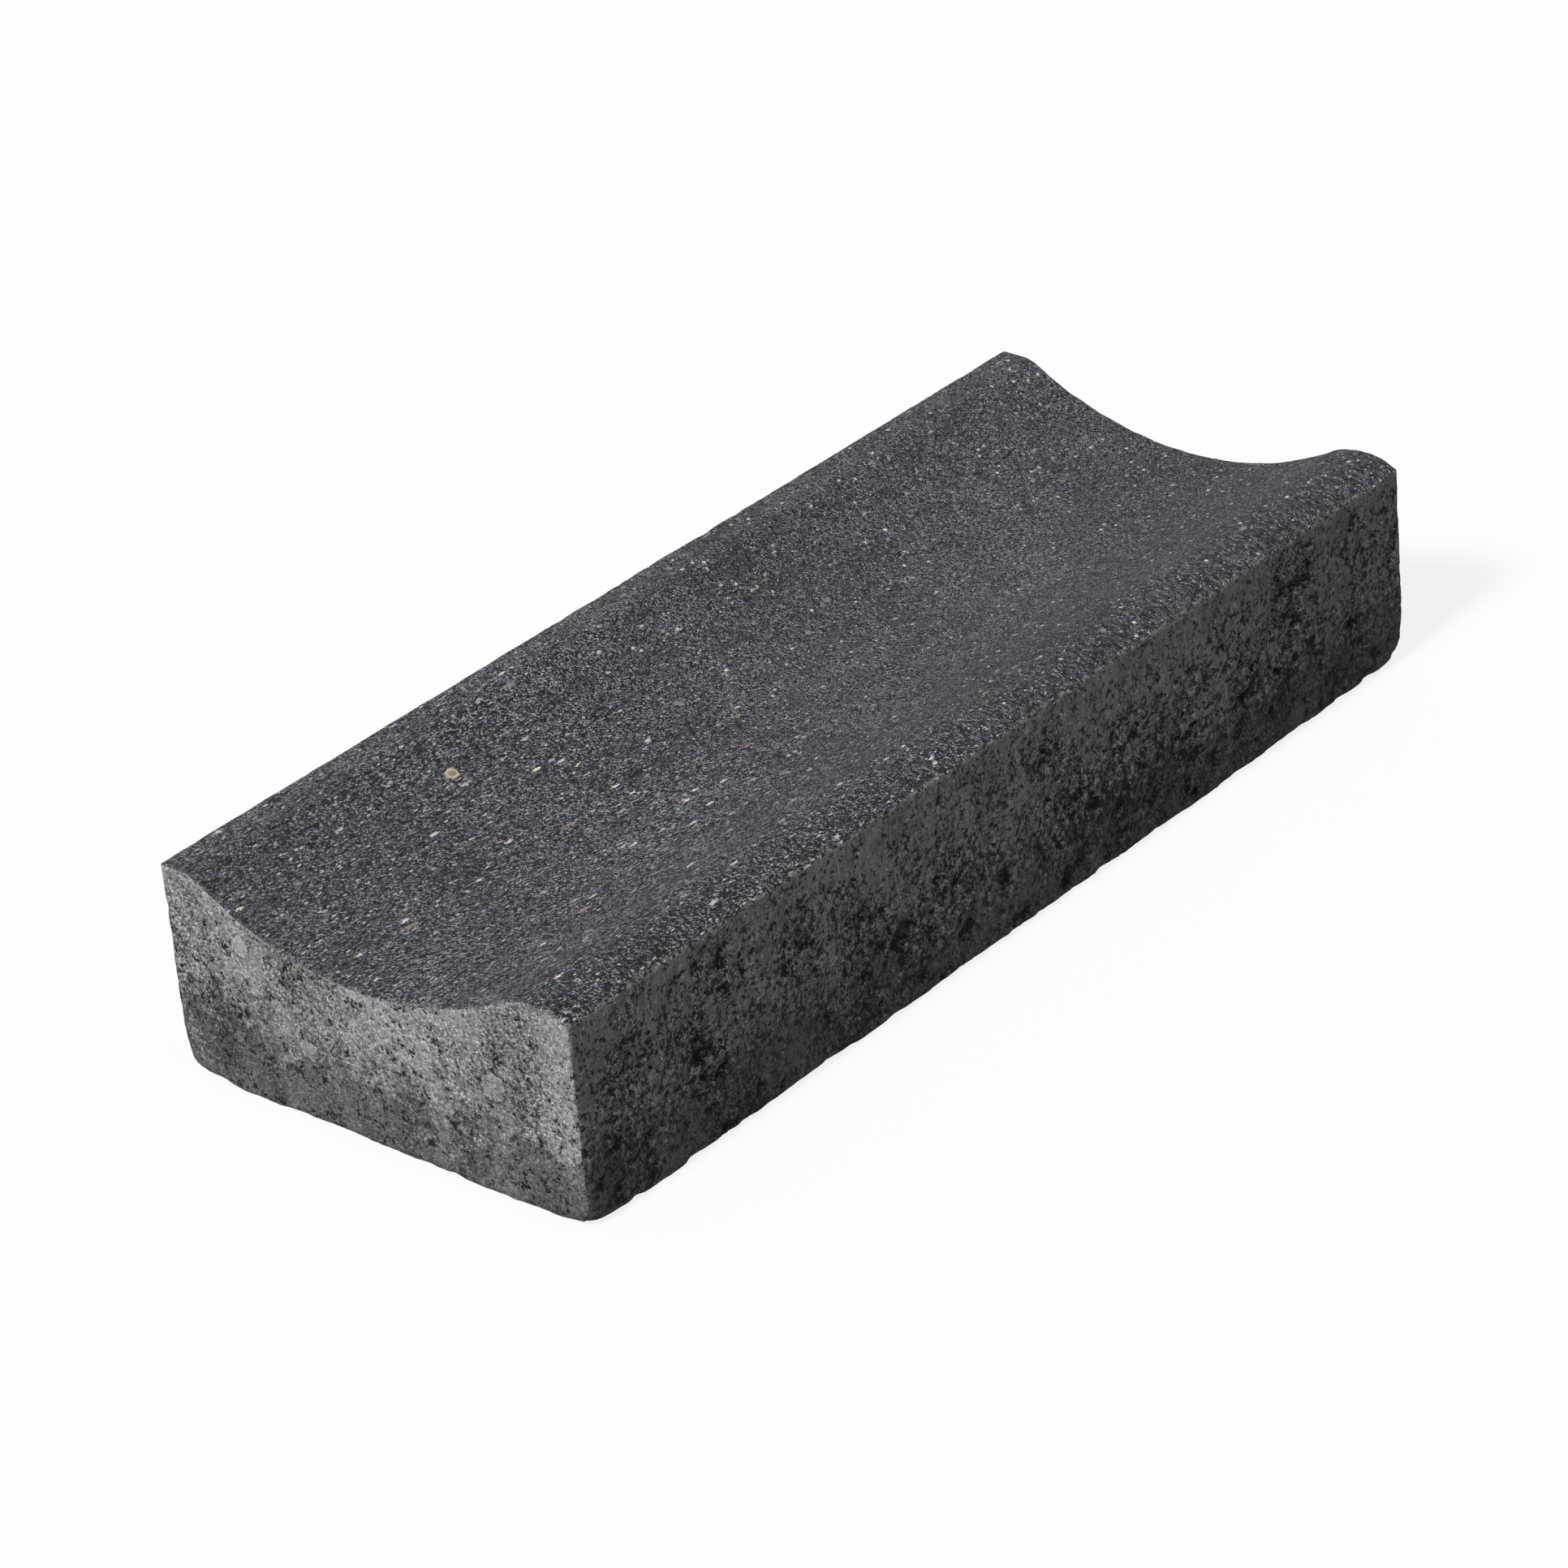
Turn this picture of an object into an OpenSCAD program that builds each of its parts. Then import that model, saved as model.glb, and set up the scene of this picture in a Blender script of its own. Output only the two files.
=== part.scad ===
// Concrete gutter block: one cast piece with a dished channel along its top.
// Millimetres. X runs across the block, Y along the gutter and Z up from the base.
// The origin is at the middle of the flat base.

/* [Block] */
// Length along the gutter
block_l = 500; // [200:10:1000]
// Width across the gutter
block_w = 200; // [150:5:400]
// Height from the base to the top of the rims
block_h = 90; // [60:1:200]

/* [Dish] */
// Depth of the dish below the rims
dish_depth = 23; // [8:1:40]
// Width of the flat rim, from the outer face to the start of its roll into the dish
flat_rim_w = 12; // [6:1:25]
// Distance from the outer face to the top of the crowned rim
crown_rim_w = 16; // [8:1:30]
// Radius where the flat rim rolls into the dish
flat_rim_roll_r = 10; // [4:1:25]
// Radius of the crown between the dish and the outer face
crown_r = 35; // [32:1:60]

/* [Edges] */
// Radius of the arris where the flat rim meets its outer face
flat_arris_r = 1; // [1:0.5:4]
// Radius of the arris where the crowned rim meets its outer face
crown_arris_r = 1.5; // [1:0.5:6]
// Radius of the four upright corners
upright_r = 1.5; // [1:0.5:10]
// Radius of the bottom edges along the two sides
side_base_r = 4; // [1:0.5:10]
// Radius of the bottom edges across the two ends
end_base_r = 6; // [1:0.5:15]

/* [Hidden] */
// Colour of the weathered black concrete
concrete_colour = [0.30, 0.30, 0.32];
// How far a cutting shape runs past the solid that it cuts
over = 10;
// Fineness of the round stretches
$fn = 96;
// Fineness of the wide arcs of the dish and the crown
wide_arc_fn = 360;
// How far arcs that run into each other overlap, so that they meet in one clean edge
blend = 0.005;

// Places from the middle of the block
half_l = block_l / 2;
half_w = block_w / 2;
flat_roll_x = flat_rim_w - half_w;
crown_x = half_w - crown_rim_w;

// The dish is one arc that meets the roll of the flat rim and the crown without a kink.
// A rim of radius r tops out at a reach from the dish's middle, where
// reach^2 = dish_depth * (2 * (dish_r + r) - dish_depth), and the two reaches add up to dish_span.
dish_span = crown_x - flat_roll_x;
reach_difference = 2 * dish_depth * (crown_r - flat_rim_roll_r) / dish_span;
flat_reach = (dish_span - reach_difference) / 2;
dish_r = (pow(flat_reach, 2) / dish_depth + dish_depth) / 2 - flat_rim_roll_r;
dish_x = flat_roll_x + flat_reach;

// Middles of the arcs that make the top of the section
dish_middle = [dish_x, block_h - dish_depth + dish_r];
flat_roll_middle = [flat_roll_x, block_h - flat_rim_roll_r];
crown_middle = [crown_x, block_h - crown_r];
crown_arris_rise = sqrt(pow(crown_r - crown_arris_r, 2) - pow(crown_rim_w - crown_arris_r, 2));
crown_arris_middle = [half_w - crown_arris_r, crown_middle.y + crown_arris_rise];

// The point a given distance from one point on the line towards another
function point_towards(from, to, distance) = from + (to - from) * distance / norm(to - from);

// The turn that brings a corner's cut from up and right to the corner on the given sides
function corner_turn(x_side, y_side) = y_side > 0 ? (x_side > 0 ? 0 : 90) : (x_side > 0 ? 270 : 180);

// What is taken off a square corner, which lies up and right before it is turned, to round it
module corner_cut(corner, turn, r) {
    translate(corner)
        rotate(turn)
            difference() {
                translate([-r, -r])
                    square(r + over);
                translate([-r, -r])
                    circle(r);
            }
}

// What is open above the block, from the flat rim to the outer face of the crowned rim.
// The polygon's lower corners lie inside the rims' circles or the dish's, so only arcs show.
module top_cut() {
    difference() {
        union() {
            polygon([
                flat_roll_middle,
                [flat_roll_x, block_h + over],
                [half_w + over, block_h + over],
                [half_w + over, crown_middle.y],
                crown_middle,
                point_towards(dish_middle, crown_middle, dish_r - over),
                point_towards(dish_middle, flat_roll_middle, dish_r - over)
            ]);
            translate(dish_middle)
                circle(dish_r + blend, $fn = wide_arc_fn);
        }
        translate(flat_roll_middle)
            circle(flat_rim_roll_r);
        translate(crown_middle)
            circle(crown_r, $fn = wide_arc_fn);
    }
}

// What is taken off between the crown and its outer face, to round their arris
module crown_arris_cut() {
    difference() {
        polygon([
            crown_arris_middle,
            point_towards(crown_middle, crown_arris_middle, crown_r + over),
            [half_w + over, block_h + over],
            [half_w + over, crown_arris_middle.y]
        ]);
        translate(crown_arris_middle)
            circle(crown_arris_r + blend);
    }
}

// The block cut across: X across and Z up
module section() {
    difference() {
        translate([-half_w, 0])
            square([block_w, block_h]);
        top_cut();
        crown_arris_cut();
        corner_cut([-half_w, block_h], corner_turn(-1, 1), flat_arris_r);
        corner_cut([-half_w, 0], corner_turn(-1, -1), side_base_r);
        corner_cut([half_w, 0], corner_turn(1, -1), side_base_r);
    }
}

// The four upright corners, rounded from top to bottom
module upright_cuts() {
    for (side = [-1, 1])
        for (end = [-1, 1])
            translate([0, 0, -over])
                linear_extrude(block_h + 2 * over)
                    corner_cut([side * half_w, end * half_l], corner_turn(side, end), upright_r);
}

// The bottom edges across the two ends
module end_base_cuts() {
    for (end = [-1, 1])
        rotate([90, 0, 90])
            linear_extrude(block_w + 2 * over, center = true)
                corner_cut([end * half_l, 0], corner_turn(end, -1), end_base_r);
}

// The whole casting
module gutter_block() {
    color(concrete_colour)
        difference() {
            rotate([90, 0, 0])
                linear_extrude(block_l, center = true)
                    section();
            upright_cuts();
            end_base_cuts();
        }
}

gutter_block();
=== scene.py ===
import bpy
import numpy as np
from mathutils import Matrix, Vector


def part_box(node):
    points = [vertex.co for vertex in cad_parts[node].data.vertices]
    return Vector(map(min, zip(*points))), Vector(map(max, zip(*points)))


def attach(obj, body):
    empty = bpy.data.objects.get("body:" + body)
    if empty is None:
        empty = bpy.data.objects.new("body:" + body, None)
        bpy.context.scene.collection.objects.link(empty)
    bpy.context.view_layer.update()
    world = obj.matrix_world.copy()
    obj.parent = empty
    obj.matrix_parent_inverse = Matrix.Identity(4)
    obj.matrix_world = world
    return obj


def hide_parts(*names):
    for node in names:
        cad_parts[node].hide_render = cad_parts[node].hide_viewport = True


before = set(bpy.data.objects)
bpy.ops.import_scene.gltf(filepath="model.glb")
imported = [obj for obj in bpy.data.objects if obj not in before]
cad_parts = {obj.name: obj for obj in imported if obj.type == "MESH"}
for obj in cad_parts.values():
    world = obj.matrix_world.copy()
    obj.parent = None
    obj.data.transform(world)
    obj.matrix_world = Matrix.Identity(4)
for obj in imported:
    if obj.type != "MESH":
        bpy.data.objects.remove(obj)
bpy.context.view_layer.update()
block_low, block_high = (np.array(corner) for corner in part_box("gutter_block"))
BLOCK_WIDTH, BLOCK_LENGTH, BLOCK_HEIGHT = block_high - block_low
HALF_WIDTH = BLOCK_WIDTH / 2
HALF_LENGTH = BLOCK_LENGTH / 2

MM = 0.001

# Section of the block
DISH_DEPTH = 23 * MM
FLAT_RIM_WIDTH = 12 * MM
CROWN_RIM_WIDTH = 16 * MM
FLAT_ROLL_RADIUS = 10 * MM
CROWN_RADIUS = 35 * MM

# Radii of the edges before wear
FLAT_ARRIS_RADIUS = 1 * MM
CROWN_ARRIS_RADIUS = 1.5 * MM
END_ARRIS_RADIUS = 0.8 * MM
UPRIGHT_RADIUS = 1.5 * MM
SIDE_BASE_RADIUS = 4 * MM
END_BASE_RADIUS = 6 * MM

# Big stones that show in the near end: x, z and radius
END_STONES = ((60 * MM, 48 * MM, 6.0 * MM), (-63 * MM, 66 * MM, 4.5 * MM), (-33 * MM, 32 * MM, 4.5 * MM))

# The one big cream stone in the dish, under the flat rim
CREAM_STONE_MIDDLE = (-66 * MM, -130 * MM, 80 * MM)
CREAM_STONE_RADIUS = 3.0 * MM

# The largest hollows in the side under the crowned rim: y, z, radius and depth
SIDE_HOLLOWS = (
    (-69 * MM, 31 * MM, 6.5 * MM, 3.0 * MM),
    (-9 * MM, 27 * MM, 5.0 * MM, 2.5 * MM),
    (-82 * MM, 47 * MM, 4.5 * MM, 2.0 * MM),
    (-17 * MM, 37 * MM, 3.5 * MM, 1.8 * MM),
    (13 * MM, 26 * MM, 4.0 * MM, 2.0 * MM),
    (26 * MM, 30 * MM, 3.5 * MM, 2.5 * MM),
    (45 * MM, 32 * MM, 4.5 * MM, 2.2 * MM),
    (26 * MM, 7 * MM, 4.5 * MM, 2.5 * MM),
)

# Spacing of the surface points, and how many rows of small faces border the base
FINE_STEP = 0.45 * MM
COARSE_STEP = 1.68 * MM
STEP_GROWTH = 1.2
BASE_BORDER = 8

# How fine the patterns of the facing mix are, in waves or grains per metre
TOP_SAND = 2100.0
TOP_LUMPS = 760.0
TOP_SCALES = 520.0
TOP_PATCHES = 110.0
TOP_CLOUDS = 11.0
TOP_TINTS = 1100.0
TOP_CRYSTALS = 1250.0
TOP_FLAKES = 370.0
TOP_CHIPS = 230.0

# What is left of a pattern's length along the gutter at the far and near ends, the y where one
# gives way to the other, and how far either way the change reaches
FAR_SQUEEZE = 0.9
NEAR_SQUEEZE = 0.34
SQUEEZE_BEND = -30 * MM
SQUEEZE_REACH = 100 * MM

# From a grain of sand to the point whose shade it is set against, which gives it a lit edge
LIT_EDGE_STEP = (-0.25 * MM, 0.22 * MM, 0.0)

# How fine the patterns of the body mix are, in waves or grains per metre
BODY_SAND = 950.0
BODY_BREAKS = 330.0
BODY_CRACKS = 640.0
BODY_CLOUDS = 30.0
BODY_SMEARS = 42.0
BODY_COMBING = 620.0
BODY_BILLOWS = 150.0
BODY_KNOBS = 185.0
BODY_STONES = 330.0
BODY_SPECKS = 780.0

# How fine the pattern of the pale arrises is: partly wear, partly painted highlight
ARRIS_HIGHLIGHT_AND_WEAR_SPOTS = 210.0

# How the knobs' outlines are pushed about: waves per metre, and how far
KNOB_PUSHES = 260.0
KNOB_PUSH_REACH = 14 * MM

# Shades of the mixes: places on the scale, and how light the concrete is there
TOP_SHADES = ((0.28, 0.004), (0.38, 0.019), (0.50, 0.070), (0.62, 0.160), (0.74, 0.370), (0.86, 0.560))
ROUGH_SHADES = ((0.31, 0.036), (0.40, 0.098), (0.50, 0.185), (0.60, 0.285), (0.70, 0.500))
SMOOTH_SHADES = ((0.36, 0.110), (0.66, 0.250))
TOP_BLUENESS = 0.13

# Colours of stones, and of the arrises' wear with its painted highlight
WARM_FLAKE = (0.95, 0.88, 0.76, 1.0)
BROWN_CHIP = (0.37, 0.31, 0.24, 1.0)
CREAM_STONE_RIM = (0.66, 0.56, 0.42, 1.0)
CREAM_STONE_CORE = (0.34, 0.29, 0.23, 1.0)
ARRIS_PAINTED_HIGHLIGHT_AND_WEAR = (0.34, 0.32, 0.28, 1.0)

# Camera
CAMERA_AROUND = 42.49
CAMERA_ABOVE = 29.21
CAMERA_ROLL = -5.25
CAMERA_DISTANCE = 2.335
CAMERA_AIM = Vector((-0.0061, -0.0122, 0.0363))
CAMERA_LENS = 139.11
SENSOR_WIDTH = 36.0

# Light and floor
KEY_FROM = Vector((0.03, -0.71, 0.70))
KEY_STRENGTH = 3.1
KEY_SOFTNESS = 12.0
SKY_LEVEL = 0.24
FLOOR_REACH = 6.0
FLOOR_SHADE = 0.40
FLOOR_WHITENESS = 0.85


# ---- Noise worked out on whole arrays ----


def scatter(cells, seed):
    """A number from 0 to 1 for every cell, drawn by mixing the bits of its three whole-number
    coordinates and the seed."""
    primes = np.array([73856093, 19349663, 83492791], dtype=np.int64)
    mixed = np.bitwise_xor.reduce(cells.astype(np.int64) * primes, axis=-1) + seed * 2654435761
    mixed = mixed.astype(np.uint32)
    for _ in range(2):
        mixed = ((mixed >> 16) ^ mixed) * np.uint32(0x45D9F3B)
    return ((mixed >> 16) ^ mixed) / 4294967295.0


def ripple(points, size, seed):
    """Smooth noise from -1 to 1: every corner of a grid of the given size holds a random number,
    and a point takes the eased average of the eight corners round it."""
    spot = points / size
    cell = np.floor(spot)
    part = spot - cell
    eased = part**3 * (part * (part * 6 - 15) + 10)
    total = np.zeros(len(points))
    for corner in np.ndindex(2, 2, 2):
        share = np.prod(np.where(corner, eased, 1 - eased), axis=1)
        total += share * scatter(cell + np.array(corner), seed)
    return total * 2 - 1


def cloud(points, size, seed, layers=3):
    """Layers of smooth noise, each half the size and 0.55 of the height of the one before,
    divided by the sum of their heights."""
    heights = 0.55 ** np.arange(layers)
    total = sum(
        height * ripple(points, size / 2**layer, seed + layer) for layer, height in enumerate(heights)
    )
    return total / heights.sum()


def nearest_seed(points, size, seed):
    """Every cell of a grid holds one seed at a random place. Gives the distance to the nearest
    one as a share of the cell's size, and a random number from 0 to 1 that belongs to it."""
    spot = points / size
    cell = np.floor(spot)
    best = np.full(len(points), 9.0)
    kind = np.zeros(len(points))
    for offset in np.ndindex(3, 3, 3):
        other = cell + np.array(offset) - 1
        place = other + np.stack([scatter(other, seed + axis) for axis in range(3)], axis=1)
        gap = np.linalg.norm(spot - place, axis=1)
        nearer = gap < best
        kind = np.where(nearer, scatter(other, seed + 3), kind)
        best = np.where(nearer, gap, best)
    return best, kind


def rise(value, start, end):
    """0 up to start, 1 from end, and an eased slope between."""
    part = np.clip((value - start) / (end - start), 0, 1)
    return part * part * (3 - 2 * part)


# ---- The block as a box of points ----


def ruler(length):
    """Marks from 0 to length: the first step is the fine one, every next step is longer by the
    growth until it reaches the coarse one, and the second half mirrors the first."""
    growth_steps = int(np.log(COARSE_STEP / FINE_STEP) / np.log(STEP_GROWTH))
    edge = np.concatenate([[0], np.cumsum(FINE_STEP * STEP_GROWTH ** np.arange(growth_steps))])
    middle = length - 2 * edge[-1]
    count = round(middle / COARSE_STEP)
    inner = edge[-1] + middle * np.arange(1, count) / count
    return np.concatenate([edge, inner, length - edge[::-1]])


def sheet_faces(grid):
    """Four-cornered faces between the neighbouring rows and columns of a grid of point numbers."""
    corners = [grid[:-1, :-1], grid[1:, :-1], grid[1:, 1:], grid[:-1, 1:]]
    return np.stack(corners, axis=-1).reshape(-1, 4)


def fan_faces(row, left_end, right_end):
    """Triangles between a row of points and two far points: the first half of the row meets the
    left end, the second half the right end, and one triangle closes the gap between them."""
    half = len(row) // 2
    far = np.where(np.arange(len(row) - 1) < half, left_end, right_end)
    triangles = np.stack([row[1:], row[:-1], far], axis=1)
    return np.vstack([triangles, [[right_end, row[half], left_end]]])


def box_faces(nx, ny, nz):
    """Faces of a box of nx by ny by nz steps, as numbers of its lattice points, turned outwards.
    The base has small faces only in a border, and rungs that run right across inside it."""
    number = np.arange((nx + 1) * (ny + 1) * (nz + 1)).reshape(nx + 1, ny + 1, nz + 1)
    base = number[:, :, 0]
    rim = BASE_BORDER
    inside = base[rim : nx - rim + 1, rim : ny - rim + 1]
    rungs = inside[[0, -1], 1:-1]
    sheets = [
        number[:, :, nz],
        number[0, :, :].T,
        number[nx, :, :],
        number[:, 0, :],
        number[:, ny, :].T,
        base[: rim + 1, :].T,
        base[nx - rim :, :].T,
        base[rim : nx - rim + 1, : rim + 1].T,
        base[rim : nx - rim + 1, ny - rim :].T,
        rungs.T,
    ]
    quads = np.concatenate([sheet_faces(sheet) for sheet in sheets])
    near_fan = fan_faces(inside[:, 0], inside[0, 1], inside[-1, 1])
    far_fan = fan_faces(inside[::-1, -1], inside[-1, -2], inside[0, -2])
    return quads, np.concatenate([near_fan, far_fan])


def box_of_points():
    """The lattice points that the faces use, as x, y and z in a plain box, and the faces
    renumbered to them."""
    x_marks, y_marks, z_marks = ruler(BLOCK_WIDTH), ruler(BLOCK_LENGTH), ruler(BLOCK_HEIGHT)
    quads, fans = box_faces(len(x_marks) - 1, len(y_marks) - 1, len(z_marks) - 1)
    used, places = np.unique(np.concatenate([quads.ravel(), fans.ravel()]), return_inverse=True)
    i, j, k = np.unravel_index(used, (len(x_marks), len(y_marks), len(z_marks)))
    points = np.stack([x_marks[i] - HALF_WIDTH, y_marks[j] - HALF_LENGTH, z_marks[k]], axis=1)
    return points, places[: quads.size].reshape(-1, 4), places[quads.size :].reshape(-1, 3)


# ---- The block's shape ----


def round_corner(a, b, a_edge, a_side, b_edge, b_side, radius):
    """Rounds the corner between two edges, each on its side of the block. In the corner's
    square, the square outline at any distance from the inner corner becomes an arc round it."""
    a_past = a_side * (a - a_edge) + radius
    b_past = b_side * (b - b_edge) + radius
    inside = (a_past > 0) & (b_past > 0)
    reach = np.where(inside, np.hypot(a_past, b_past), 1.0)
    loss = np.where(inside, 1 - np.maximum(a_past, b_past) / reach, 0.0)
    return a - a_side * a_past * loss, b - b_side * b_past * loss


def dish_drop(x):
    """How far the top lies below the rims: nothing on the flat land, then the arc of the roll,
    the wide arc of the dish and the arc of the crown, which meet without a kink."""
    roll_x = FLAT_RIM_WIDTH - HALF_WIDTH
    crown_x = HALF_WIDTH - CROWN_RIM_WIDTH
    span = crown_x - roll_x
    flat_reach = span / 2 - DISH_DEPTH * (CROWN_RADIUS - FLAT_ROLL_RADIUS) / span
    dish_radius = (flat_reach**2 / DISH_DEPTH + DISH_DEPTH) / 2 - FLAT_ROLL_RADIUS
    dish_x = roll_x + flat_reach
    roll_end = dish_x - flat_reach * dish_radius / (dish_radius + FLAT_ROLL_RADIUS)
    crown_start = dish_x + (crown_x - dish_x) * dish_radius / (dish_radius + CROWN_RADIUS)
    roll = arc_drop(x - roll_x, FLAT_ROLL_RADIUS)
    dish = DISH_DEPTH - arc_drop(x - dish_x, dish_radius)
    crown = arc_drop(x - crown_x, CROWN_RADIUS)
    return np.select([x < roll_x, x < roll_end, x < crown_start], [np.zeros_like(x), roll, dish], crown)


def arc_drop(across, radius):
    """How far a circle has fallen from its top at a distance across."""
    return radius - np.sqrt(np.maximum(radius**2 - across**2, 0))


def wander(along, size, seed):
    """Noise from 0 to 1 along one edge, read on a line between the grid's corners."""
    points = np.stack([along, np.full_like(along, 0.37 * size), np.full_like(along, 0.71 * size)], axis=1)
    return np.clip(0.5 + 0.9 * cloud(points, size, seed), 0, 1)


def near(distance, size):
    """1 at no distance, falling away as a bell of the given size."""
    return np.exp(-((distance / size) ** 2))


def worn_box(points):
    """Rounds the box's edges one after another. Each radius is the cast edge's own, wandering
    along it, plus chips, plus wear that grows towards the lower corners."""
    x, y, z = points.T
    to_end = HALF_LENGTH - np.abs(y)
    to_side = HALF_WIDTH - np.abs(x)
    for side, arris in ((-1, FLAT_ARRIS_RADIUS), (1, CROWN_ARRIS_RADIUS)):
        chips = 1.5 * MM * wander(y, 8 * MM, 20 + side) ** 4
        radius = arris * (0.6 + 0.7 * wander(y, 24 * MM, 10 + side)) + chips
        x, z = round_corner(x, z, side * HALF_WIDTH, side, BLOCK_HEIGHT, 1, radius)
        chips = 4.0 * MM * wander(y, 12 * MM, 40 + side) ** 3
        radius = SIDE_BASE_RADIUS * (0.4 + wander(y, 30 * MM, 30 + side)) + chips
        radius = radius + 5 * MM * near(to_end, 12 * MM)
        x, z = round_corner(x, z, side * HALF_WIDTH, side, 0.0, -1, radius)
    for end in (-1, 1):
        chips = 1.2 * MM * wander(x, 7 * MM, 60 + end) ** 4
        radius = END_ARRIS_RADIUS * (0.5 + wander(x, 18 * MM, 50 + end)) + chips
        y, z = round_corner(y, z, end * HALF_LENGTH, end, BLOCK_HEIGHT, 1, radius)
        chips = 3.5 * MM * wander(x, 11 * MM, 80 + end) ** 3
        radius = END_BASE_RADIUS * (0.4 + 0.8 * wander(x, 28 * MM, 70 + end)) + chips
        radius = radius + 4 * MM * near(to_side, 12 * MM)
        y, z = round_corner(y, z, end * HALF_LENGTH, end, 0.0, -1, radius)
        for side in (-1, 1):
            wear = 5 * MM * near(z, 12 * MM)
            radius = UPRIGHT_RADIUS * (0.5 + 0.7 * wander(z, 12 * MM, 90 + end + 5 * side)) + wear
            x, y = round_corner(x, y, side * HALF_WIDTH, side, end * HALF_LENGTH, end, radius)
    return np.stack([x, y, z], axis=1)


def dished(points):
    """Lowers every point by the dish's drop at its x, in full at the rims' height and not at all
    at the base."""
    x, y, z = points.T
    return np.stack([x, y, z - dish_drop(x) * z / BLOCK_HEIGHT], axis=1)


def point_normals(points, quads, fans):
    """The sum of the normals of the faces round each point, made one long."""
    normals = np.zeros_like(points)
    for faces in (quads, fans):
        first, second, third, last = (points[faces[:, corner]] for corner in (0, 1, 2, -1))
        face_normals = np.cross(third - first, last - second)
        for corner in range(faces.shape[1]):
            np.add.at(normals, faces[:, corner], face_normals)
    return normals / np.linalg.norm(normals, axis=1)[:, None]


# ---- Relief of the concrete ----


def top_relief(points):
    """Height of the fine facing mix: a slow swell, sand lumps drawn out along the gutter, and
    coarser scales on the crowned rim."""
    crown = rise(points[:, 0], 52 * MM, 70 * MM)
    swell = 0.40 * MM * cloud(points, 80 * MM, 101, 2)
    lumps = 0.40 * MM * cloud(points * (1.0, 0.75, 1.0), 5 * MM, 104, 2)
    scales = 0.65 * MM * cloud(points * (1.0, 0.70, 1.0), 6 * MM, 107, 2)
    return swell + lumps * (1 - crown) + scales * crown


def open_patches(points):
    """Where the body mix is open and crumbly rather than smeared, from 0 to 1: tall clouds, with
    more of them low on the block and none right at the top and bottom edges."""
    tall = points * (1.0, 1.0, 0.6)
    low = 1 - points[:, 2] / BLOCK_HEIGHT
    far = points[:, 1] / BLOCK_LENGTH
    level = cloud(tall, 22 * MM, 201) + 0.40 * low + 0.05 * far - 0.12
    calm = rise(BLOCK_HEIGHT - points[:, 2], 4 * MM, 14 * MM)
    return rise(level, -0.20, 0.30) * calm


def big_hollows(points):
    """Depth of the largest hollows: each is a bowl, full in its middle and gone at its radius,
    which noise makes ragged."""
    on_side = rise(points[:, 0], HALF_WIDTH - 8 * MM, HALF_WIDTH - 4 * MM)
    ragged = 0.9 * cloud(points, 5 * MM, 280, 2)
    depth = np.zeros(len(points))
    for y, z, radius, full in SIDE_HOLLOWS:
        away = np.hypot(points[:, 1] - y, points[:, 2] - z) / radius + ragged
        depth = np.maximum(depth, full * (1 - rise(away, 0.30, 1.0)))
    return depth * on_side


def body_relief(points, is_open, is_end):
    """Depth of the body mix below its face: crumbs with gaps between them and ragged hollows,
    both deepest where it is open and slight on the ends, scattered pits and a slow swell."""
    bent = points + 1.5 * MM * np.stack([ripple(points, 4 * MM, 210 + axis) for axis in range(3)], axis=1)
    share = is_open * (1 - 0.75 * is_end)
    crumb_gap, _ = nearest_seed(bent, 5.5 * MM, 220)
    crumbs = 0.9 * MM * rise(crumb_gap, 0.38, 0.78) * (0.15 + 0.85 * share)
    ragged = cloud(bent, 5.5 * MM, 240, 2) + 0.12 * share
    hollows = 1.3 * MM * rise(ragged, 0.38, 0.56) * (0.45 + 0.55 * share) * (1 - 0.7 * is_end)
    pit_gap, pit_kind = nearest_seed(bent, 8 * MM, 230)
    pits = 0.9 * MM * rise(0.12 + 0.40 * (pit_kind - 0.7) - pit_gap, -0.12, 0.06)
    swell = 0.30 * MM * cloud(points, 60 * MM, 260, 2)
    bowls = big_hollows(bent)
    return np.maximum(crumbs + hollows + pits, bowls + 0.5 * crumbs) + swell


def nearness_to_arris(points, reach):
    """Nearness to the edges of the top, and to the four upright ones, measured in the plain box."""
    x, y, z = points.T
    to_side = HALF_WIDTH - np.abs(x)
    to_end = HALF_LENGTH - np.abs(y)
    to_top = BLOCK_HEIGHT - z
    along_sides = near(np.hypot(to_side, to_top), reach)
    along_ends = near(np.hypot(to_end, to_top), reach)
    upright = near(np.hypot(to_end, to_side), 2 * reach)
    return np.maximum(np.maximum(along_sides, 0.55 * along_ends), 0.35 * upright)


def new_skin(points, faces, marks):
    """A smooth mesh object, with the given attributes on its points."""
    mesh = bpy.data.meshes.new("block_skin")
    mesh.from_pydata(points, [], faces)
    mesh.shade_smooth()
    for name, values in marks.items():
        mesh.attributes.new(name, "FLOAT", "POINT").data.foreach_set("value", values.astype(np.float32))
    skin = bpy.data.objects.new("block_skin", mesh)
    bpy.context.scene.collection.objects.link(skin)
    return skin


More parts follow.
